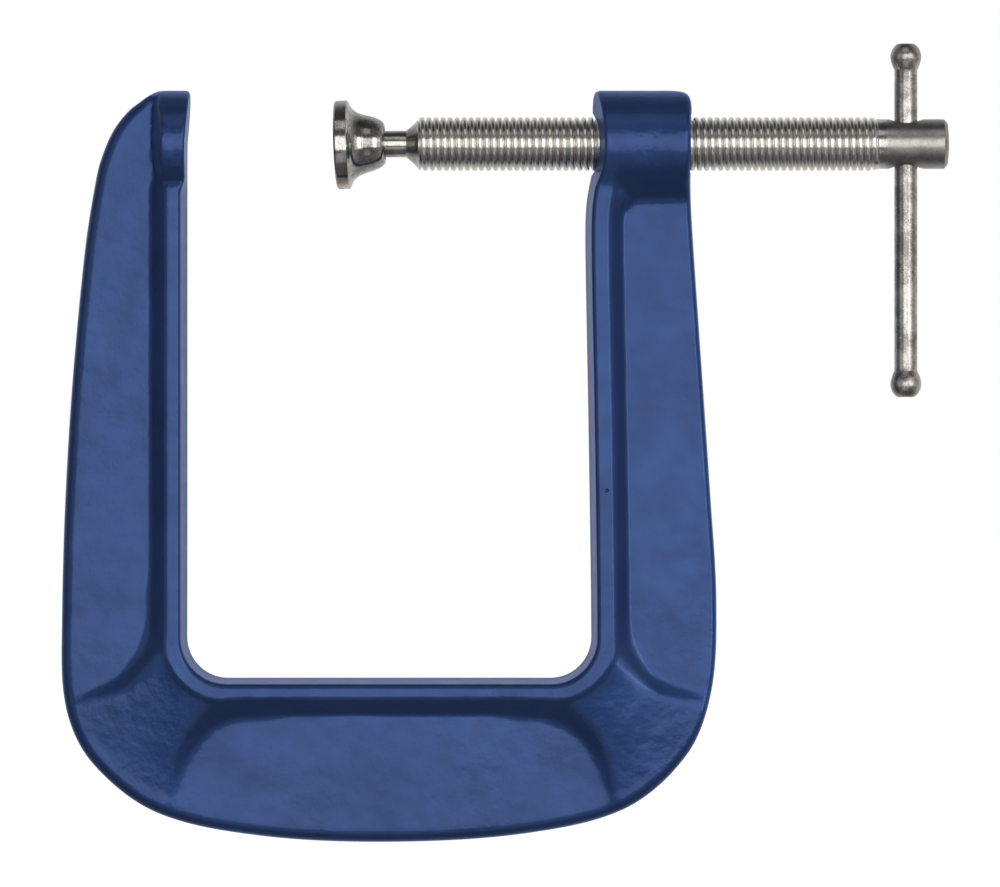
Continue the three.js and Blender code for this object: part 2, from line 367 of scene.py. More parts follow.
def ripple(points, wavelength, seed, waves=22):
    """A smooth random field over points, about -1 to 1, from sine waves of one length."""
    random = np.random.default_rng(seed)
    total = np.zeros(len(points))
    for _ in range(waves):
        heading = random.uniform(0, 2 * math.pi)
        size = wavelength * random.uniform(0.7, 1.5)
        wave = np.array([math.cos(heading), math.sin(heading)]) * 2 * math.pi / size
        total += np.sin(points @ wave + random.uniform(0, 2 * math.pi))
    return total / math.sqrt(waves)


# --------------------------------------------------------------- the casting


class Casting:
    """The cast frame's shape: two edge lines, and half the thickness between them."""

    wall_rows = 6
    edge_rows = 6
    flange_rows = 20
    web_rows = 28
    outer_rows = 14
    anvil_length = 5.1
    anvil_foot = 7.3
    flange_slope = 1.38     # fall for each mm, outside the flange
    gusset_slope = 0.95     # rise for each mm, at a gusset's foot
    gusset_reach = 23       # how far a gusset's top goes on falling from the flange
    barrel_foot = -8.0      # where the boss and the anvil stop being round
    boss_skirt = 1.15       # fall for each mm below there, on the boss
    anvil_skirt = 1.6       # and on the anvil
    back_lean = 0.03        # how far the outer edge leans in for each mm of thickness

    def __init__(self, sizes):
        self.depth = sizes.throat_depth / MM
        self.span = sizes.jaw_span / MM
        self.barrel = sizes.barrel_radius / MM
        self.boss_end = self.span + sizes.boss_length / MM
        self.web = sizes.web_half / MM
        self.flange = sizes.flange_half / MM
        self.rim = sizes.rim_half / MM
        self.corner = sizes.corner_radius / MM
        self.flange_width = sizes.flange_width / MM
        self.waviness = sizes.waviness / MM
        self.throat = self.throat_line()
        self.outer = self.outer_line()

    def throat_line(self):
        """Down the anvil, round the throat and up the boss's face."""
        top, r = self.barrel, self.corner
        right = self.span - 0.35
        floor = 0.35 - self.depth
        face = smooth_line(
            [(-0.2, top), (0.42, 11.15), (0.68, 10.5), (0.68, 9), (0.5, 6), (0.2, 2.5), (0, 0),
             (0, -8)],
            0.2,
        )
        down = np.array([(0, z) for z in np.arange(-8.2, floor + r, -0.2)])
        turns = np.linspace(0, math.pi / 2, 61)
        first = np.stack([r - r * np.cos(turns), floor + r - r * np.sin(turns)], axis=1)
        across = np.array([(x, floor) for x in np.arange(r + 0.2, right - r, 0.2)])
        second = np.stack(
            [right - r + r * np.sin(turns), floor + r - r * np.cos(turns)], axis=1
        )
        back = smooth_line(
            [
                (right, floor + r), (86.25, -92), (85.75, -58), (85.3, -34), (85.1, -20),
                (85.25, -14), (85.75, -10), (86.5, -6.2), (self.span, -2.5),
                (self.span, 4), (self.span, 9.2), (self.span + 0.15, 10.3),
                (self.span + 0.6, 11.1), (self.span + 1.5, top),
            ],
            0.2,
        )
        return np.vstack([face, down, first, across, second, back[1:]])

    def outer_line(self):
        """Down the tip, the front arm, round the bottom and up the back arm."""
        end = self.boss_end
        return smooth_line(
            [
                (-4.6, self.barrel), (-6.2, 11.2), (-7.6, 10.5), (-9.6, 9.2), (-12.4, 7.0), (-15.4, 3.2),
                (-17.4, -1.0), (-19.1, -6.5), (-21.9, -24.6), (-25.2, -63.2), (-26.6, -101.9),
                (-25.8, -120), (-20.4, -131.7), (-6.8, -142.4), (14.9, -147.4), (43.5, -148.8),
                (73, -146.9), (93.9, -141.5), (106.8, -130), (111.9, -116.4), (112.9, -97.5),
                (111.6, -75), (109.2, -40), (107.6, -16), (107.35, -8), (end, -2), (end, 4),
                (end, 8.3), (end - 0.3, 9.8), (end - 1.1, 10.75), (end - 2.4, 11.2),
                (end - 4.6, self.barrel),
            ],
            0.2,
        )

    def stations(self):
        """Matching distances along the two lines, one pair for each cross-section."""
        pairs = [
            ((-0.2, self.barrel), (-4.6, self.barrel)), ((0, 0), (-17.05, 0)),
            ((0, -60), (-24.95, -60)), ((0, -92), (-26.4, -95)),
            ((2.58, -111.72), (-18.9, -132.9)), ((22, -114.3), (18, -147.7)),
            ((43.2, -114.3), (43.5, -148.8)), ((64.4, -114.3), (69, -147.3)),
            ((83.8, -111.72), (104.3, -132.9)), ((86.2, -92), (112.8, -95)),
            ((85.75, -58), (110.4, -58)), ((85.2, -15), (107.6, -15)),
            ((self.span, 0), (self.boss_end, 0)),
            ((self.span + 1.5, self.barrel), (self.boss_end - 4.6, self.barrel)),
        ]
        near = np.array([nearest_distance(self.throat, a) for a, _ in pairs])
        far = np.array([nearest_distance(self.outer, b) for _, b in pairs])
        middle = (near + far) / 2
        fine = np.linspace(middle[0], middle[-1], 9000)
        lines = []
        for values in (near, far):
            path = np.interp(fine, middle, values)
            window = np.hanning(181)
            padded = np.concatenate([
                2 * path[0] - path[90:0:-1], path, 2 * path[-1] - path[-2:-92:-1],
            ])
            lines.append(np.convolve(padded, window / window.sum(), "valid"))
        near_fine, far_fine = lines
        rate = np.maximum(np.gradient(near_fine), np.gradient(far_fine))
        reach = self.barrel
        top_gap = np.minimum(fine - fine[0], fine[-1] - fine)
        crowd = 0.24 + 0.76 * np.sqrt(np.clip(top_gap / reach, 0, 1))
        effort = np.concatenate([[0], np.cumsum(rate[1:] / crowd[1:])])
        count = int(effort[-1] / 0.88)
        picks = np.interp(np.linspace(0, effort[-1], count), effort, fine)
        return np.interp(picks, fine, near_fine), np.interp(picks, fine, far_fine)

    @staticmethod
    def gusset(points, outline):
        """How deep each point lies inside a corner gusset, below zero outside it."""
        depth = distance_to(outline, points)
        return np.where(inside(outline, points), depth, -depth)

    def gusset_outlines(self):
        """The feet of the two corner gussets, closed outside the casting."""
        near_left = smooth_line(
            [
                (-5.2, -86), (-7.6, -94), (-7.96, -100.8), (-8.6, -104.2), (-10.2, -108.3),
                (-12.2, -111.2), (-14.6, -113.7), (-17.3, -115.3), (-20.1, -116.5),
                (-24.0, -118.6), (-32, -122),
            ],
            0.5,
        )
        under_left = smooth_line(
            [
                (-4.5, -156), (-3.2, -145), (-2.5, -139.5), (-1.5, -135.6), (-0.3, -132.2),
                (1.4, -129), (4.7, -125.6), (8.1, -123.4), (12, -122.4), (18, -122.1),
                (28, -119.5),
            ],
            0.5,
        )
        left = np.vstack([near_left, [(-45, -140), (-20, -160)], under_left,
                          [(28, -112), (6, -108), (0, -86)]])
        under_right = smooth_line(
            [
                (60, -119.5), (70, -122.1), (76.6, -122.6), (80.9, -124.3), (84.7, -127.5),
                (87.3, -131.3), (89, -135.4), (90.4, -140), (92.5, -148), (95, -156),
            ],
            0.5,
        )
        near_right = smooth_line(
            [
                (120, -120.5), (110, -117.6), (105.5, -116.4), (102.6, -115.4), (99.9, -113.6),
                (97.4, -110.4), (95.4, -106.4), (94.3, -102.5), (93.8, -97.4), (92.6, -90),
                (90.5, -82),
            ],
            0.5,
        )
        right = np.vstack([under_right, [(120, -160), (140, -140)], near_right,
                           [(86, -82), (82, -108), (60, -112)]])
        return left, right

    def half_thickness(self, points, seed):
        """Half the casting's thickness over points of its middle plane."""
        x, z = points[:, 0], points[:, 1]
        inset = distance_to(self.throat[::3], points)
        top = self.barrel
        web = np.full(len(points), self.web)
        web += self.waviness * (0.7 * ripple(points, 17, seed) + 0.24 * ripple(points, 6.5, seed + 1))
        tip = (z - (top - 2.1)) / 2.1
        near_tip = (x < 20) & (tip > 0)
        web = np.where(near_tip, web * np.sqrt(np.clip(1 - np.clip(tip, 0, 1) ** 2, 0, 1)), web)

        flange_width = self.flange_width + 0.45 * ramp(x, 50, 84) * ramp(z, -118, -108)
        slope = self.flange - self.flange_slope * (inset - flange_width)
        ridge = soft_min(np.full(len(points), self.flange + 0.06), slope, 0.5)
        ridge_fade = np.where(x > 50, ramp(z, -2, -4), ramp(z, -3, -9.5))
        ridge = np.where(z > -12, ridge * ridge_fade, ridge)
        height = soft_max(web, ridge, 0.42)

        fall = np.clip((inset - flange_width + 0.2) / self.gusset_reach, 0, 1)
        beside = 0.84 * (1 - fall) + 0.16 * (1 - fall) ** 9
        gusset_top = self.rim - 0.2 + (self.flange - self.rim + 0.2) * beside
        join = 0.02 + 0.68 * ramp(inset, flange_width - 1.2, flange_width + 0.6)
        for outline in self.gusset_outlines():
            depth = self.gusset(points, outline)
            rise = self.web - 0.35 + depth * self.gusset_slope
            body = soft_min(gusset_top, rise, 0.7)
            height = np.where(depth > -4, soft_max(height, body, join), height)

        circle = np.sqrt(np.clip(top**2 - z**2, 0, None))
        foot_z = self.barrel_foot
        foot = math.sqrt(top**2 - foot_z**2)
        corner = np.clip((97.4 - x) / 4.8, 0, 1)
        skirt = foot - (foot_z - z) * self.boss_skirt + 3.6 * corner**2 * ramp(-z, 8, 13)
        barrel = np.where(z > foot_z, circle, skirt)
        closing = np.clip((top - z) / 2.0, 0, 1)

        boss = np.where(x > 50, barrel, -20.0)
        boss_blend = 1.2 * closing * ramp(z, 2, -6) + 0.02
        near_boss = (x > 50) & (z > -22)
        height = np.where(near_boss, soft_max(height, boss, boss_blend), height)
        clear = (x > 50) & (z > -2)
        height = np.where(clear, circle, height)

        shoulder_x = self.anvil_length + 0.9 * ramp(z, 3, 10.5)
        drop = np.clip((-shoulder_x - x) / (self.anvil_foot - self.anvil_length), -9, 9)
        shoulder = circle - drop * (top - self.web)
        round_part = np.where(z > foot_z, circle, foot - (foot_z - z) * self.anvil_skirt)
        anvil = soft_min(round_part, shoulder, 0.5)
        anvil_blend = 0.6 * closing + 0.01
        near_anvil = (x < 20) & (z > -20)
        height = np.where(near_anvil, soft_max(height, anvil, anvil_blend), height)
        limit = np.where((z > 0) & ((x > 50) | (x > -5.5)), circle, 99.0)
        height = np.minimum(height, limit)
        return height + 0.09 * self.waviness * closing * ripple(points, 3.2, seed + 2)

    def cross_sections(self):
        """Front and back rings of every cross-section, as arrays of 3-D points."""
        near, far = self.stations()
        throat = at_distance(self.throat, near)
        outer = at_distance(self.outer, far)
        into = self.smoothed(left_normals(self.throat), near, self.throat) * -1
        out = self.smoothed(left_normals(self.outer), far, self.outer) * -1
        top = self.barrel
        width = np.linalg.norm(outer - throat, axis=1)
        on_anvil = (throat[:, 0] < 20) * ramp(throat[:, 1], -11, -7)
        on_boss = (throat[:, 0] > 50) * ramp(throat[:, 1], -10, -5)
        lean = 0.145 + (0.02 - 0.145) * on_anvil + (0.21 - 0.145) * on_boss
        low = ramp(-throat[:, 1], 104, 113)
        edge = 1.05 + (0.7 - 1.05) * on_anvil + (0.85 - 1.05) * on_boss + 0.3 * low
        right = ramp(outer[:, 0], 60, 112) * ramp(outer[:, 1], -140, -118)
        swell = 2.4 + (1.35 - 2.4) * right
        swell = swell * (1 - on_boss) + 1.15 * on_boss
        swell = np.minimum(swell, width * 0.22)

        into = self.levelled(into, throat, on_anvil + on_boss)
        out = self.levelled(out, outer, on_boss + on_anvil * ramp(outer[:, 1], 6, 10.5))
        flange_reach = np.minimum(9.9, width * 0.6)
        start_guess = lean * self.flange + edge
        rings = []
        for side, seed in ((-1, 11), (1, 47)):
            first = throat + into * start_guess[:, None]
            edge_height = self.half_thickness(first, seed)
            radius = np.minimum(edge, 0.45 * edge_height + 0.001)
            wall_reach = lean * np.maximum(edge_height - radius, 0)
            start = wall_reach + radius
            rows = []
            for k in range(self.wall_rows):
                t = k / self.wall_rows
                rise = (edge_height - radius) * t
                rows.append((throat + into * (lean * rise)[:, None], rise))
            for k in range(self.edge_rows):
                turn = math.pi / 2 * k / self.edge_rows
                reach = wall_reach + radius * (1 - math.cos(turn))
                rise = edge_height - radius + radius * math.sin(turn)
                rows.append((throat + into * reach[:, None], rise))
            for k in range(self.flange_rows):
                reach = start + (flange_reach - start) * (k / self.flange_rows)
                place = throat + into * reach[:, None]
                rows.append((place, self.half_thickness(place, seed)))
            inner = throat + into * flange_reach[:, None]
            rim = outer - out * (swell + self.back_lean * top)[:, None]
            for k in range(self.web_rows):
                t = k / self.web_rows
                place = inner * (1 - t) + rim * t
                rows.append((place, self.half_thickness(place, seed)))
            rim_height = self.half_thickness(rim, seed)
            small = np.minimum(swell, rim_height * 0.72 + 0.001)
            straight = rim_height - small
            for k in range(self.outer_rows + 1):
                s = k / self.outer_rows
                bend = min(s / 0.65, 1) * math.pi / 2
                flat = max((s - 0.65) / 0.35, 0)
                rise = straight + small * math.cos(bend) - straight * flat
                tuck = swell * (1 - math.sin(bend)) + self.back_lean * straight * (1 - flat)
                rows.append((outer - out * tuck[:, None], rise))
            ends = np.ones(len(throat))
            ends[[0, -1]] = 0
            ring = [
                np.stack([place[:, 0], side * rise * ends, place[:, 1]], axis=1)
                for place, rise in rows
            ]
            rings.append(np.array(ring))
        front, back = rings
        back[0] = front[0]
        back[-1] = front[-1]
        loop = np.concatenate([front, back[-2:0:-1]])
        loop = self.parted(loop)
        return np.transpose(loop, (1, 0, 2))

    @staticmethod
    def smoothed(normals, distances, line):
        """Unit normals of a line at distances along it."""
        travelled = along(line)
        picked = np.stack(
            [np.interp(distances, travelled, normals[:, i]) for i in range(2)], axis=1
        )
        return picked / np.linalg.norm(picked, axis=1, keepdims=True)

    @staticmethod
    def levelled(normals, places, share):
        """Turns normals level with X where the casting is sliced across its barrels."""
        level = np.zeros_like(normals)
        level[:, 0] = np.where(places[:, 0] < 50, -1.0, 1.0)
        share = np.clip(share, 0, 1)[:, None]
        mixed = normals * (1 - share) + level * share
        return mixed / np.linalg.norm(mixed, axis=1, keepdims=True)

    def parted(self, loop):
        """A low ridge along the middle plane, where the mould's halves met."""
        y = loop[:, :, 1]
        plane = loop[:, :, [0, 2]]
        middle = plane[[0, self.half_count() - 1]]
        centre = middle.mean(axis=0)
        away = plane - centre[None]
        away /= np.linalg.norm(away, axis=2, keepdims=True) + 1e-9
        lift = 0.10 * np.exp(-((y / 0.45) ** 2))
        edge_only = np.zeros(loop.shape[0])
        edge_only[: self.wall_rows] = 1
        edge_only[-self.wall_rows + 1:] = 1
        half = self.half_count() - 1
        edge_only[half - self.outer_rows + 2: half + self.outer_rows - 1] = 1
        calm = np.clip((self.barrel - 1.5 - loop[:, :, 2]) / 2, 0, 1)
        shift = away * (lift * calm * edge_only[:, None])[:, :, None]
        loop[:, :, 0] += shift[:, :, 0]
        loop[:, :, 2] += shift[:, :, 1]
        return loop

    def half_count(self):
        """Rows from the throat's middle line over the front to the outer middle line."""
        return (
            self.wall_rows + self.edge_rows + self.flange_rows + self.web_rows
            + self.outer_rows + 1
        )

    def mesh(self):
        """The closed casting, without its tapped hole."""
        rings = self.cross_sections()
        stations, count = rings.shape[:2]
        vertices = rings.reshape(-1, 3)
        faces = []
        for s in range(stations - 1):
            for k in range(count):
                a = s * count + k
                b = s * count + (k + 1) % count
                faces.append((a, b, b + count, a + count))
        return mesh_of("frame_casting", vertices.tolist(), faces)


# ---------------------------------------------------------- the screw's thread


class Sockets:
    """Makes nodes in a tree, and links or sets their inputs."""

    def __init__(self, tree):
        self.tree = tree

    def node(self, kind, inputs=None, **settings):
        """A new node; inputs is a dict of socket name or index to a value or a socket."""
        made = self.tree.nodes.new(kind)
        for name, value in settings.items():
            setattr(made, name, value)
        for key, value in (inputs or {}).items():
            socket = made.inputs[key]
            if isinstance(value, bpy.types.NodeSocket):
                self.tree.links.new(value, socket)
            else:
                socket.default_value = value
        return made

    def math(self, operation, a, b=0.0, c=0.0):
        """One arithmetic step."""
        return self.node("ShaderNodeMath", {0: a, 1: b, 2: c}, operation=operation).outputs[0]

    def smooth(self, value, low, high, to_low=0.0, to_high=1.0, mode="SMOOTHSTEP"):
        """A value carried smoothly from one range to another."""
        made = self.node(
            "ShaderNodeMapRange",
            {0: value, 1: low, 2: high, 3: to_low, 4: to_high},
            interpolation_type=mode,
        )
        return made.outputs[0]


def thread_tree():
    """Geometry nodes for a screw thread about X: a grid wound into a helix."""
    tree = bpy.data.node_groups.new("Screw thread", "GeometryNodeTree")
    tree.is_modifier = True
    face = tree.interface
    face.new_socket(name="Geometry", in_out="INPUT", socket_type="NodeSocketGeometry")
    face.new_socket(name="Geometry", in_out="OUTPUT", socket_type="NodeSocketGeometry")
    for name in ("Phase", "Start", "End", "Pitch", "Crest Radius", "Root Radius",
                 "Start Radius", "End Radius", "Lead In", "Run Out"):
        face.new_socket(name=name, in_out="INPUT", socket_type="NodeSocketFloat")
    for name in ("Rows", "Rows a Pitch", "Steps Around"):
        face.new_socket(name=name, in_out="INPUT", socket_type="NodeSocketInt")
    face.new_socket(name="Material", in_out="INPUT", socket_type="NodeSocketMaterial")
    k = Sockets(tree)
    given = k.node("NodeGroupInput").outputs
    columns = k.math("ADD", given["Steps Around"], 1.0)
    grid = k.node(
        "GeometryNodeMeshGrid", {"Vertices X": given["Rows"], "Vertices Y": columns}
    )
    index = k.node("GeometryNodeInputIndex").outputs[0]
    turn = k.math("DIVIDE", k.math("MODULO", index, columns), given["Steps Around"])
    row = k.math("FLOOR", k.math("DIVIDE", k.math("ADD", index, 0.25), columns))
    pitches = k.math("DIVIDE", row, given["Rows a Pitch"])
    flank = k.math("PINGPONG", pitches, 0.5)
    away = k.smooth(flank, 0.02, 0.46, 1.0, 0.0, "LINEAR")
    rise = k.math("SUBTRACT", 1.0, k.math("POWER", away, 3.0))
    wound = k.math("ADD", pitches, turn)
    x = k.math("MULTIPLY_ADD", wound, given["Pitch"], given["Phase"])
    x = k.math("MINIMUM", k.math("MAXIMUM", x, given["Start"]), given["End"])
    depth = k.math("SUBTRACT", given["Crest Radius"], given["Root Radius"])
    radius = k.math("MULTIPLY_ADD", rise, depth, given["Root Radius"])
    from_start = k.math("SUBTRACT", x, given["Start"])
    cone = k.math("MULTIPLY_ADD", from_start, given["Lead In"], given["Start Radius"])
    radius = k.math("MINIMUM", radius, cone)
    fade_start = k.math("SUBTRACT", given["End"], given["Run Out"])
    fade = k.smooth(x, fade_start, given["End"])
    change = k.math("SUBTRACT", given["End Radius"], radius)
    radius = k.math("MULTIPLY_ADD", change, fade, radius)
    angle = k.math("MULTIPLY", turn, 2 * math.pi)
    y = k.math("MULTIPLY", radius, k.math("COSINE", angle))
    z = k.math("MULTIPLY", radius, k.math("SINE", angle))
    place = k.node("ShaderNodeCombineXYZ", {0: x, 1: y, 2: z}).outputs[0]
    wound_grid = k.node(
        "GeometryNodeSetPosition", {"Geometry": grid.outputs[0], "Position": place}
    ).outputs[0]
    closed = k.node(
        "GeometryNodeMergeByDistance", {"Geometry": wound_grid, "Distance": 0.0000004}
    ).outputs[0]
    real = k.node("GeometryNodeRealizeInstances", {"Geometry": closed}).outputs[0]
    ended = k.node(
        "GeometryNodeSetMaterial", {"Geometry": real, "Material": given["Material"]}
    ).outputs[0]
    k.node("NodeGroupOutput", {0: ended})
    return tree


def wound_thread(screw, start, end, radii, lead_in, run_out, material):
    """The thread's skin between two places along X, open at both ends, as a mesh."""
    crest, root, start_radius, end_radius = radii
    pitch = screw.pitch
    first = screw.thread_start + pitch * (
        math.floor((start - screw.thread_start) / pitch) - 2
    )
    rows = int(math.ceil((end - first) / pitch + 2) * screw.rows) + 1
    values = {
        "Phase": first, "Start": start, "End": end, "Pitch": pitch, "Crest Radius": crest,
        "Root Radius": root, "Start Radius": start_radius, "End Radius": end_radius,
        "Lead In": lead_in, "Run Out": run_out, "Rows": rows, "Rows a Pitch": screw.rows,
        "Steps Around": screw.around, "Material": material,
    }
    tree = bpy.data.node_groups.get("Screw thread") or thread_tree()
    holder = bpy.data.objects.new("thread_holder", bpy.data.meshes.new("thread_holder"))
    bpy.context.scene.collection.objects.link(holder)
    winding = holder.modifiers.new("Winding", "NODES")
    winding.node_group = tree
    for item in tree.interface.items_tree:
        if item.in_out == "INPUT" and item.name in values:
            winding[item.identifier] = values[item.name]
    graph = bpy.context.evaluated_depsgraph_get()
    mesh = bpy.data.meshes.new_from_object(holder.evaluated_get(graph))
    holder.modifiers.clear()
    bpy.data.objects.remove(holder)
    return mesh


def welded(name, meshes):
    """Several open skins welded into one closed mesh along their shared rims."""
    bm = bmesh.new()
    for mesh in meshes:
        bm.from_mesh(mesh)
        bpy.data.meshes.remove(mesh)
    joined = bpy.data.meshes.new(name)
    bm.to_mesh(joined)
    bm.free()
    return tidy(joined)


def skin(profile, segments):
    """An open or closed turned skin as a loose mesh, in metres."""
    vertices, faces = turned(profile, segments)
    mesh = bpy.data.meshes.new("skin")
    mesh.from_pydata([[axis * MM for axis in v] for v in vertices], [], faces)
    return mesh


def carved(obj, cutter_mesh):
    """Cuts one mesh out of an object's mesh, and keeps the result as plain geometry."""
    cutter = bpy.data.objects.new("cutter", cutter_mesh)
    bpy.context.scene.collection.objects.link(cutter)
    cut = obj.modifiers.new("Cut", "BOOLEAN")
    cut.operation = "DIFFERENCE"
    cut.solver = "MANIFOLD"
    cut.object = cutter
    graph = bpy.context.evaluated_depsgraph_get()
    result = bpy.data.meshes.new_from_object(obj.evaluated_get(graph))
    obj.modifiers.clear()
    bpy.data.objects.remove(cutter)
    before = len(obj.data.polygons)
    if len(result.polygons) == before:
        raise RuntimeError("the cut left " + obj.name + " as it was")
    old = obj.data
    obj.data = result
    bpy.data.meshes.remove(old)
    return obj


# ------------------------------------------------------------------ materials


def new_material(name):
    """An empty node material, with its output, its shader and Object coordinates."""
    material = bpy.data.materials.new(name)
    material.use_nodes = True
    material.node_tree.nodes.clear()
    k = Sockets(material.node_tree)
    place = k.node("ShaderNodeTexCoord").outputs["Object"]
    return material, k, place


def pattern(k, place, scale, detail=3.0, roughness=0.5, stretch=(1, 1, 1)):
    """Soft noise; scale is in cells a metre."""
    mapped = k.node("ShaderNodeMapping", {"Vector": place, "Scale": stretch}).outputs[0]
    return k.node(
        "ShaderNodeTexNoise",
        {"Vector": mapped, "Scale": scale, "Detail": detail, "Roughness": roughness},
    ).outputs[0]


def mixed(k, amount, a, b):
    """A colour between two colours."""
    made = k.node("ShaderNodeMix", {"Factor": amount}, data_type="RGBA")
    for socket, value in ((made.inputs[6], a), (made.inputs[7], b)):
        if isinstance(value, bpy.types.NodeSocket):
            k.tree.links.new(value, socket)
        else:
            socket.default_value = (*value, 1.0)
    return made.outputs[2]


def bumped(k, height, strength, distance):
    """A surface raised by a height; distance is in metres."""
    return k.node(
        "ShaderNodeBump", {"Height": height, "Strength": strength, "Distance": distance}
    ).outputs[0]


def enamel(finishes):
    """Glossy blue enamel over sand-cast iron: soft orange peel and a few small pits."""
    material, k, place = new_material("frame_enamel")
    cloud = pattern(k, place, 55, 3)
    cloud = k.smooth(cloud, 0.35, 0.68)
    body = mixed(k, cloud, tuple(finishes.enamel), tuple(finishes.enamel_deep))
    pits = k.node(
        "ShaderNodeTexVoronoi", {"Vector": place, "Scale": 330.0}, feature="F1"
    )
    rare = k.smooth(pattern(k, place, 95, 2), 0.69, 0.75)
    pit = k.smooth(pits.outputs["Distance"], 0.05, 0.15, 1.0, 0.0)
    pit = k.math("MULTIPLY", pit, rare)
    body = mixed(k, k.math("MULTIPLY", pit, 0.45), body, tuple(finishes.iron))
    grain = pattern(k, place, 560, 3, 0.6)
    skin_noise = pattern(k, place, 190, 3, 0.55)
    rough_cast = k.smooth(pattern(k, place, 28, 2), 0.38, 0.62, 0.35, 1.0)
    sand = k.math("MULTIPLY_ADD", skin_noise, 1.5, k.math("MULTIPLY", grain, 0.35))
    sand = k.math("MULTIPLY", sand, rough_cast)
    sand = k.math("SUBTRACT", sand, k.math("MULTIPLY", pit, 1.2))
    bump = bumped(k, sand, 1.0, 0.00024)
    gloss = k.smooth(skin_noise, 0.3, 0.75, 0.34, 0.44)
    shader = k.node(
        "ShaderNodeBsdfPrincipled",
        {
            "Base Color": body, "Roughness": gloss, "Metallic": 0.66, "Normal": bump,
            "Specular IOR Level": 0.25, "Specular Tint": (0.22, 0.42, 1.0, 1.0),
            "Coat Weight": 0.42, "Coat Roughness": 0.17, "Coat IOR": 1.5,
            "Sheen Weight": 0.24, "Sheen Roughness": 0.6,
            "Sheen Tint": (0.36, 0.56, 1.0, 1.0), "Coat Normal": bumped(k, sand, 0.7, 0.00014),
        },
    )
    k.node("ShaderNodeOutputMaterial", {"Surface": shader.outputs[0]})
    return material


def spindle_tone_with_painted_light(k, place, tone, finishes):
    """The screw's colour: the thread brightened with a painted highlight, its root darkened with painted
    shade, and how dull its head is.
    """
    x, y, z = k.node("ShaderNodeSeparateXYZ", {0: place}).outputs
    radius = k.math("SQRT", k.math("ADD", k.math("POWER", y, 2.0), k.math("POWER", z, 2.0)))
    root = k.smooth(radius, 0.00482, 0.00515, 1.0, 0.0)
    thread = k.math("MULTIPLY", k.smooth(x, 0.0488, 0.0495), k.smooth(x, 0.1470, 0.1484, 1.0, 0.0))
    # Painted highlight: the thread's plating is painted near-white, as if more light fell on it.
    tone = mixed(k, k.math("MULTIPLY", thread, 0.8), tone, (0.97, 0.95, 0.91))
    # Painted shade: the thread's root is painted darker, where shade falls between the flanks.
    root_shaded = k.math("MULTIPLY", k.math("MULTIPLY", root, thread), 0.10)
    tone = mixed(k, root_shaded, tone, tuple(finishes.root_shade))
    dull = k.smooth(x, 0.1484, 0.1500, 0.0, 0.15)
    tone = mixed(k, k.math("MULTIPLY", dull, 2.2), tone, tuple(0.40 * c for c in finishes.plate))
    return tone, dull


def plated(finishes, name, axis, rings, shine, dirt, drawn):
    """Bright plated steel: turning marks round its axis, flecks, and drawn streaks along it."""
    material, k, place = new_material(name)
    around = [60.0, 60.0, 60.0]
    around["XYZ".index(axis)] = rings
    marks = pattern(k, place, 1, 4, 0.65, tuple(around))
    lengthwise = [1700.0, 1700.0, 1700.0]
    lengthwise["XYZ".index(axis)] = 150.0
    streaks = pattern(k, place, 1, 3, 0.6, tuple(lengthwise))
    fleck = pattern(k, place, 2600, 3, 0.6)
    cloud = pattern(k, place, 260, 4, 0.6)
    stain = k.smooth(k.math("MULTIPLY_ADD", fleck, 0.6, cloud), 0.62, 0.98, 0.0, dirt)
    tone = mixed(k, stain, tuple(finishes.plate), tuple(0.30 * c for c in finishes.plate))
    dull = 0.0
    if name == "spindle_steel":
        # The spindle's tone gets a painted highlight on its thread and painted shade in the thread's
        # root.
        tone, dull = spindle_tone_with_painted_light(k, place, tone, finishes)
    gloss = k.math("ADD", dull, k.smooth(marks, 0.3, 0.7, shine, shine + 0.10))
    height = k.math("MULTIPLY_ADD", streaks, drawn, marks)
    height = k.math("MULTIPLY_ADD", fleck, 0.2 + 0.5 * drawn, height)
    bump = bumped(k, height, 0.8, 0.000016)
    shader = k.node(
        "ShaderNodeBsdfPrincipled",
        {"Base Color": tone, "Roughness": gloss, "Metallic": 1.0, "Normal": bump},
    )
    k.node("ShaderNodeOutputMaterial", {"Surface": shader.outputs[0]})
    return material


# ------------------------------------------------------------------ operators


class CLAMP_OT_frame(bpy.types.Operator):
    """Make the cast frame with its tapped boss"""

    bl_idname = "clamp.frame"
    bl_label = "Cast frame"

    def execute(self, context):
        scene = context.scene
        screw = scene.clamp_screw
        casting = Casting(scene.clamp_casting)
        obj = make_piece("frame_casting", casting.mesh(), enamel(scene.clamp_finishes))
        start = casting.span - 2
        end = casting.boss_end + 2
        crest = screw.crest_radius + screw.play
        root = screw.root_radius + screw.play
        mouth = crest / MM + 0.5
        tap = wound_thread(
            screw, start * MM, end * MM, (crest, root, root * 0.95, root * 0.95),
            2.0, 0.0005, obj.data.materials[0],
        )
        bm = bmesh.new()
        bm.from_mesh(tap)
        bmesh.ops.holes_fill(bm, edges=[e for e in bm.edges if e.is_boundary], sides=0)
        bm.to_mesh(tap)
        bm.free()
        carved(obj, tidy(tap))
        for x, way in ((casting.span, 1), (casting.boss_end, -1)):
            profile = [
                (x - way * 1.5, 0), (x - way * 1.5, mouth + 1.5),
                (x + way * (mouth - root / MM), root / MM - 0.05),
                (x + way * (mouth - root / MM), 0),
            ]
            carved(obj, turned_mesh("mouth", profile, 96))
        shaded(obj.data, CREASE)
        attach(obj, "frame")
        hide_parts("frame")
        return {"FINISHED"}


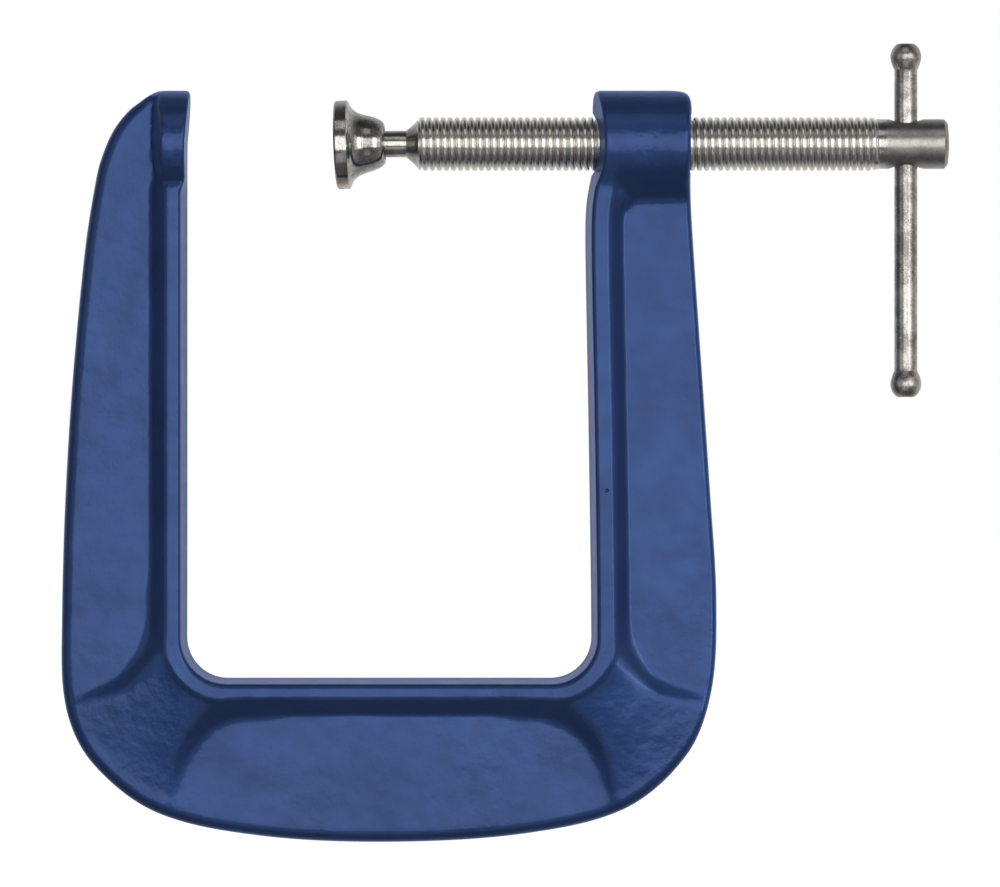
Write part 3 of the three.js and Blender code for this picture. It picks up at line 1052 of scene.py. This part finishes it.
class CLAMP_OT_spindle(bpy.types.Operator):
    """Make the threaded spindle with its neck and its cross-drilled head"""

    bl_idname = "clamp.spindle"
    bl_label = "Spindle"

    def execute(self, context):
        scene = context.scene
        screw, bar = scene.clamp_screw, scene.clamp_bar
        steel = plated(scene.clamp_finishes, "spindle_steel", "X", 5200, 0.15, 0.55, 0.1)
        neck = screw.neck_radius / MM
        head = screw.head_radius / MM
        start, end = screw.thread_start / MM, screw.thread_end / MM
        tip = 4.45
        thread = wound_thread(
            screw, screw.thread_start - 0.0003, screw.thread_end,
            (screw.crest_radius, screw.root_radius, tip * MM, screw.head_radius),
            1.25, 0.0032, steel,
        )
        neck_start = cad_low("spindle", 0) / MM
        head_end = cad_high("spindle", 0) / MM
        neck_end = screw.neck_end / MM
        front = eased(
            [(neck_start, neck - 0.25), (neck_start, neck), (neck_end, neck),
             (start - 0.3, tip)],
            0.35,
        )
        back = [(end, head), (head_end - 4, head)]
        back += eased(
            [(head_end - 4, head), (head_end - 1.05, head), (head_end - 0.3, head - 0.9),
             (head_end - 0.05, head - 3.2), (head_end, 0)],
            0.5,
        )[1:]
        mesh = welded("spindle_screw", [
            thread,
            skin([(neck_start, 0), *front], screw.around),
            skin(back, screw.around),
        ])
        obj = make_piece("spindle_screw", mesh, steel)
        reach = head + 1.2
        hole, sink = bar.hole_radius / MM, bar.sink_radius / MM
        profile = eased(
            [(-reach, 0), (-reach, sink + 1.2), (-head + 1.0, hole), (head - 1.0, hole),
             (reach, sink + 1.2), (reach, 0)],
            0.3,
        )
        carved(obj, turned_mesh("cross_hole", profile, 72, bar_axis()))
        shaded(obj.data, CREASE + 6)
        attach(obj, "spindle")
        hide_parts("spindle")
        return {"FINISHED"}


class CLAMP_OT_ball(bpy.types.Operator):
    """Make the ball that the swivel pad is closed over"""

    bl_idname = "clamp.ball"
    bl_label = "Spindle ball"

    def execute(self, context):
        screw = context.scene.clamp_screw
        radius, centre = screw.ball_radius / MM, screw.ball_centre / MM
        neck = screw.neck_radius / MM
        last = math.pi - math.asin(neck / radius)
        profile = [(centre - radius, 0)]
        steps = 44
        for i in range(1, steps + 1):
            angle = last * i / steps
            profile.append((centre - radius * math.cos(angle), radius * math.sin(angle)))
        profile.append((profile[-1][0], 0))
        steel = bpy.data.materials["spindle_steel"]
        obj = make_piece("ball_tip", turned_mesh("ball_tip", profile, 72), steel)
        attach(obj, "spindle_ball")
        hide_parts("spindle_ball")
        return {"FINISHED"}


class CLAMP_OT_pad(bpy.types.Operator):
    """Make the swivel pad, hanging loosely on the ball"""

    bl_idname = "clamp.pad"
    bl_label = "Swivel pad"

    def execute(self, context):
        scene = context.scene
        pad, screw = scene.clamp_pad, scene.clamp_screw
        face = cad_low("swivel_pad", 0) / MM
        rim = pad.rim_radius / MM
        width = pad.rim_width / MM
        outside = eased(
            [(face + 0.12, 0), (face, 1.2), (face, rim - 0.35), (face + 0.35, rim),
             (face + width, rim), (face + width + 0.18, rim - 0.3)],
            0.3,
        )
        flare = smooth_line(
            [(face + width + 0.18, rim - 0.3), (face + 3.5, 7.9), (face + 4.5, 6.95),
             (face + 6.0, 6.3), (face + 8.0, 5.75), (face + 9.3, 5.2), (face + 10.0, 4.75),
             (face + 10.35, 4.3)],
            0.28,
        )
        centre = screw.ball_centre / MM
        socket = pad.socket_radius / MM
        lip = pad.lip_radius / MM
        shape = [*outside, *[tuple(p) for p in flare[1:]]]
        shape += [(face + 10.4, 4.1), (face + 10.32, 3.86), (face + 10.1, 3.74)]
        last = math.pi - math.asin(lip / socket)
        steps = 40
        for i in range(steps + 1):
            angle = last * (1 - i / steps)
            shape.append((centre - socket * math.cos(angle), socket * math.sin(angle)))
        shape[-1] = (centre - socket, 0)
        mesh = turned_mesh("pad_turned", shape, 128)
        pivot = Vector((screw.ball_centre, 0, 0))
        hang = Euler((0, -pad.droop, pad.turn)).to_matrix().to_4x4()
        mesh.transform(Matrix.Translation(pivot) @ hang @ Matrix.Translation(-pivot))
        steel = plated(scene.clamp_finishes, "pad_steel", "X", 3800, 0.10, 0.75, 0.12)
        obj = make_piece("pad_turned", mesh, steel)
        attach(obj, "swivel_pad")
        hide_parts("swivel_pad")
        return {"FINISHED"}


class CLAMP_OT_bar(bpy.types.Operator):
    """Make the sliding T-bar with its two headed ends"""

    bl_idname = "clamp.bar"
    bl_label = "T-bar"

    def execute(self, context):
        scene = context.scene
        bar = scene.clamp_bar
        low, high = cad_low("t_bar", 2) / MM, cad_high("t_bar", 2) / MM
        radius, knob = bar.bar_radius / MM, bar.knob_radius / MM
        reach = bar.knob_length / MM
        head = smooth_line(
            [(0.0, 1.65), (0.12, 1.95), (0.85, 2.68), (1.9, 3.16), (2.9, knob), (4.0, 3.1),
             (4.9, 2.78), (reach - 0.12, 2.5), (reach, radius)],
            0.16,
        )
        bottom = [(low + 0.1, 0), *[(low + x, r) for x, r in head]]
        top = [(high - (x - low), r) for x, r in reversed(bottom)]
        middle = [(low + reach + (high - low - 2 * reach) * i / 30, radius) for i in range(1, 30)]
        rod = turned_mesh("bar_rod", [*bottom, *middle, *top], 96, bar_axis())
        steel = plated(scene.clamp_finishes, "bar_steel", "Z", 240, 0.24, 0.85, 0.8)
        obj = make_piece("bar_rod", rod, steel)
        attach(obj, "t_bar")
        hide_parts("t_bar")
        return {"FINISHED"}


# name, azimuth and elevation in degrees, distance in metres, width and height, watts
LIGHTS = (
    ("front_light", -4, 5, 1.6, (1.05, 1.02), 5.0),
    ("side_light", 45, 7, 1.6, (1.05, 1.0), 2.3),
    ("strip_light", 37, 7, 1.5, (0.30, 1.0), 2.4),
    ("bridge_light", 20.5, 6, 1.6, (0.36, 1.0), 1.3),
    ("left_light", -48, 5, 1.6, (0.9, 1.2), 1.1),
    ("top_light", 2, 54, 1.6, (1.1, 0.65), 0.95),
    ("low_light", 0, -34, 1.6, (1.4, 0.7), 0.8),
    ("fill_light", 0, 12, 2.4, (1.6, 1.6), 5.0),
)


def softbox(name, aim, azimuth, elevation, distance, size, power):
    """A soft light: azimuth 0 stands where the camera does, and 90 to its right."""
    data = bpy.data.lights.new(name, "AREA")
    data.shape = "RECTANGLE"
    data.size, data.size_y = size
    data.energy = power
    lamp = bpy.data.objects.new(name, data)
    bpy.context.scene.collection.objects.link(lamp)
    a, e = math.radians(azimuth), math.radians(elevation)
    away = Vector((math.sin(a) * math.cos(e), -math.cos(a) * math.cos(e), math.sin(e)))
    lamp.location = aim + away * distance
    lamp.rotation_mode = "QUATERNION"
    lamp.rotation_quaternion = away.to_track_quat("Z", "Y")
    return lamp


class CLAMP_OT_stage(bpy.types.Operator):
    """Make the pale floor, the soft lights and the camera"""

    bl_idname = "clamp.stage"
    bl_label = "Stage"

    def execute(self, context):
        scene = context.scene
        studio = scene.clamp_studio
        self.floor(studio)
        self.surroundings(scene, studio)
        aim = Vector((studio.centre_x, 0, studio.centre_z))
        for name, *light in LIGHTS:
            lamp = softbox(name, aim, *light)
            lamp.visible_glossy = name != "fill_light"
        self.camera(scene, studio, aim)
        return {"FINISHED"}

    @staticmethod
    def floor(studio):
        """A wide pale floor that the clamp stands on."""
        radius = 6.0
        z = cad_low("frame", 2) - 0.0004
        bm = bmesh.new()
        bmesh.ops.create_circle(bm, cap_ends=True, segments=96, radius=radius)
        mesh = bpy.data.meshes.new("floor")
        bm.to_mesh(mesh)
        bm.free()
        mesh.transform(Matrix.Translation((studio.centre_x, 0, z)))
        obj = bpy.data.objects.new("floor", mesh)
        bpy.context.scene.collection.objects.link(obj)
        material, k, _ = new_material("pale_floor")
        matt = k.node("ShaderNodeBsdfDiffuse", {"Color": (*studio.backdrop, 1.0)})
        glow = k.node("ShaderNodeEmission", {"Color": (*studio.backdrop, 1.0), "Strength": 0.86})
        both = k.node("ShaderNodeAddShader", {0: matt.outputs[0], 1: glow.outputs[0]})
        k.node("ShaderNodeOutputMaterial", {"Surface": both.outputs[0]})
        mesh.materials.append(material)
        obj.visible_glossy = False
        obj.visible_diffuse = False

    @staticmethod
    def surroundings(scene, studio):
        """Pale all round to the eye; to the metal, pale behind and dark in front."""
        world = bpy.data.worlds.new("studio")
        scene.world = world
        world.use_nodes = True
        world.node_tree.nodes.clear()
        k = Sockets(world.node_tree)
        toward = k.node("ShaderNodeTexCoord").outputs["Generated"]
        split = k.node("ShaderNodeSeparateXYZ", {0: toward}).outputs
        behind = k.smooth(split[1], 0.0, 1.0, 0.11, 0.68, mode="LINEAR")
        behind = k.math("ADD", behind, k.smooth(split[0], 0.5, 1.0, 0.0, 0.2))
        behind = k.math("MULTIPLY", behind, k.smooth(split[2], 0.80, 0.93, 1.0, 0.4))
        seen = k.node("ShaderNodeLightPath").outputs["Is Camera Ray"]
        lit = k.node("ShaderNodeBackground", {"Color": (1, 1, 1, 1), "Strength": behind})
        pale = k.node(
            "ShaderNodeBackground", {"Color": (*studio.backdrop, 1.0), "Strength": 1.0}
        )
        both = k.node(
            "ShaderNodeMixShader", {0: seen, 1: lit.outputs[0], 2: pale.outputs[0]}
        )
        k.node("ShaderNodeOutputWorld", {"Surface": both.outputs[0]})

    @staticmethod
    def camera(scene, studio, aim):
        """A long lens, level with the clamp and square to it."""
        data = bpy.data.cameras.new("camera")
        data.sensor_width = 36.0
        data.lens = data.sensor_width * studio.distance / studio.view_width
        data.clip_start = 0.05
        data.clip_end = 60.0
        obj = bpy.data.objects.new("camera", data)
        scene.collection.objects.link(obj)
        obj.location = aim + Vector((0, -studio.distance, 0))
        obj.rotation_euler = (math.pi / 2, 0, 0)
        scene.camera = obj
        scene.view_settings.view_transform = "Standard"


class CLAMP_PT_maker(bpy.types.Panel):
    """The clamp's pieces and their sizes"""

    bl_idname = "CLAMP_PT_maker"
    bl_label = "C clamp"
    bl_space_type = "VIEW_3D"
    bl_region_type = "UI"
    bl_category = "C clamp"

    def draw(self, context):
        scene = context.scene
        for operator, group in STEPS:
            box = self.layout.box()
            box.operator(operator)
            settings = getattr(scene, group)
            for name in settings.__annotations__:
                box.prop(settings, name)


STEPS = (
    ("clamp.frame", "clamp_casting"),
    ("clamp.spindle", "clamp_screw"),
    ("clamp.ball", "clamp_screw"),
    ("clamp.pad", "clamp_pad"),
    ("clamp.bar", "clamp_bar"),
    ("clamp.stage", "clamp_studio"),
)

GROUPS = (
    ("clamp_casting", CastingSizes),
    ("clamp_screw", ScrewSizes),
    ("clamp_pad", PadSizes),
    ("clamp_bar", BarSizes),
    ("clamp_finishes", Finishes),
    ("clamp_studio", StudioSettings),
)

CLASSES = (
    CLAMP_OT_frame, CLAMP_OT_spindle, CLAMP_OT_ball, CLAMP_OT_pad, CLAMP_OT_bar,
    CLAMP_OT_stage, CLAMP_PT_maker,
)


def register():
    """Makes the settings, operators and panel known to Blender."""
    for name, group in GROUPS:
        bpy.utils.register_class(group)
        setattr(bpy.types.Scene, name, bpy.props.PointerProperty(type=group))
    for cls in CLASSES:
        bpy.utils.register_class(cls)


def unregister():
    """Takes them away again."""
    for cls in reversed(CLASSES):
        bpy.utils.unregister_class(cls)
    for name, group in reversed(GROUPS):
        delattr(bpy.types.Scene, name)
        bpy.utils.unregister_class(group)


def main():
    """Makes every piece in order."""
    register()
    for operator, _ in STEPS:
        category, name = operator.split(".")
        getattr(getattr(bpy.ops, category), name)()


if __name__ == "__main__":
    main()
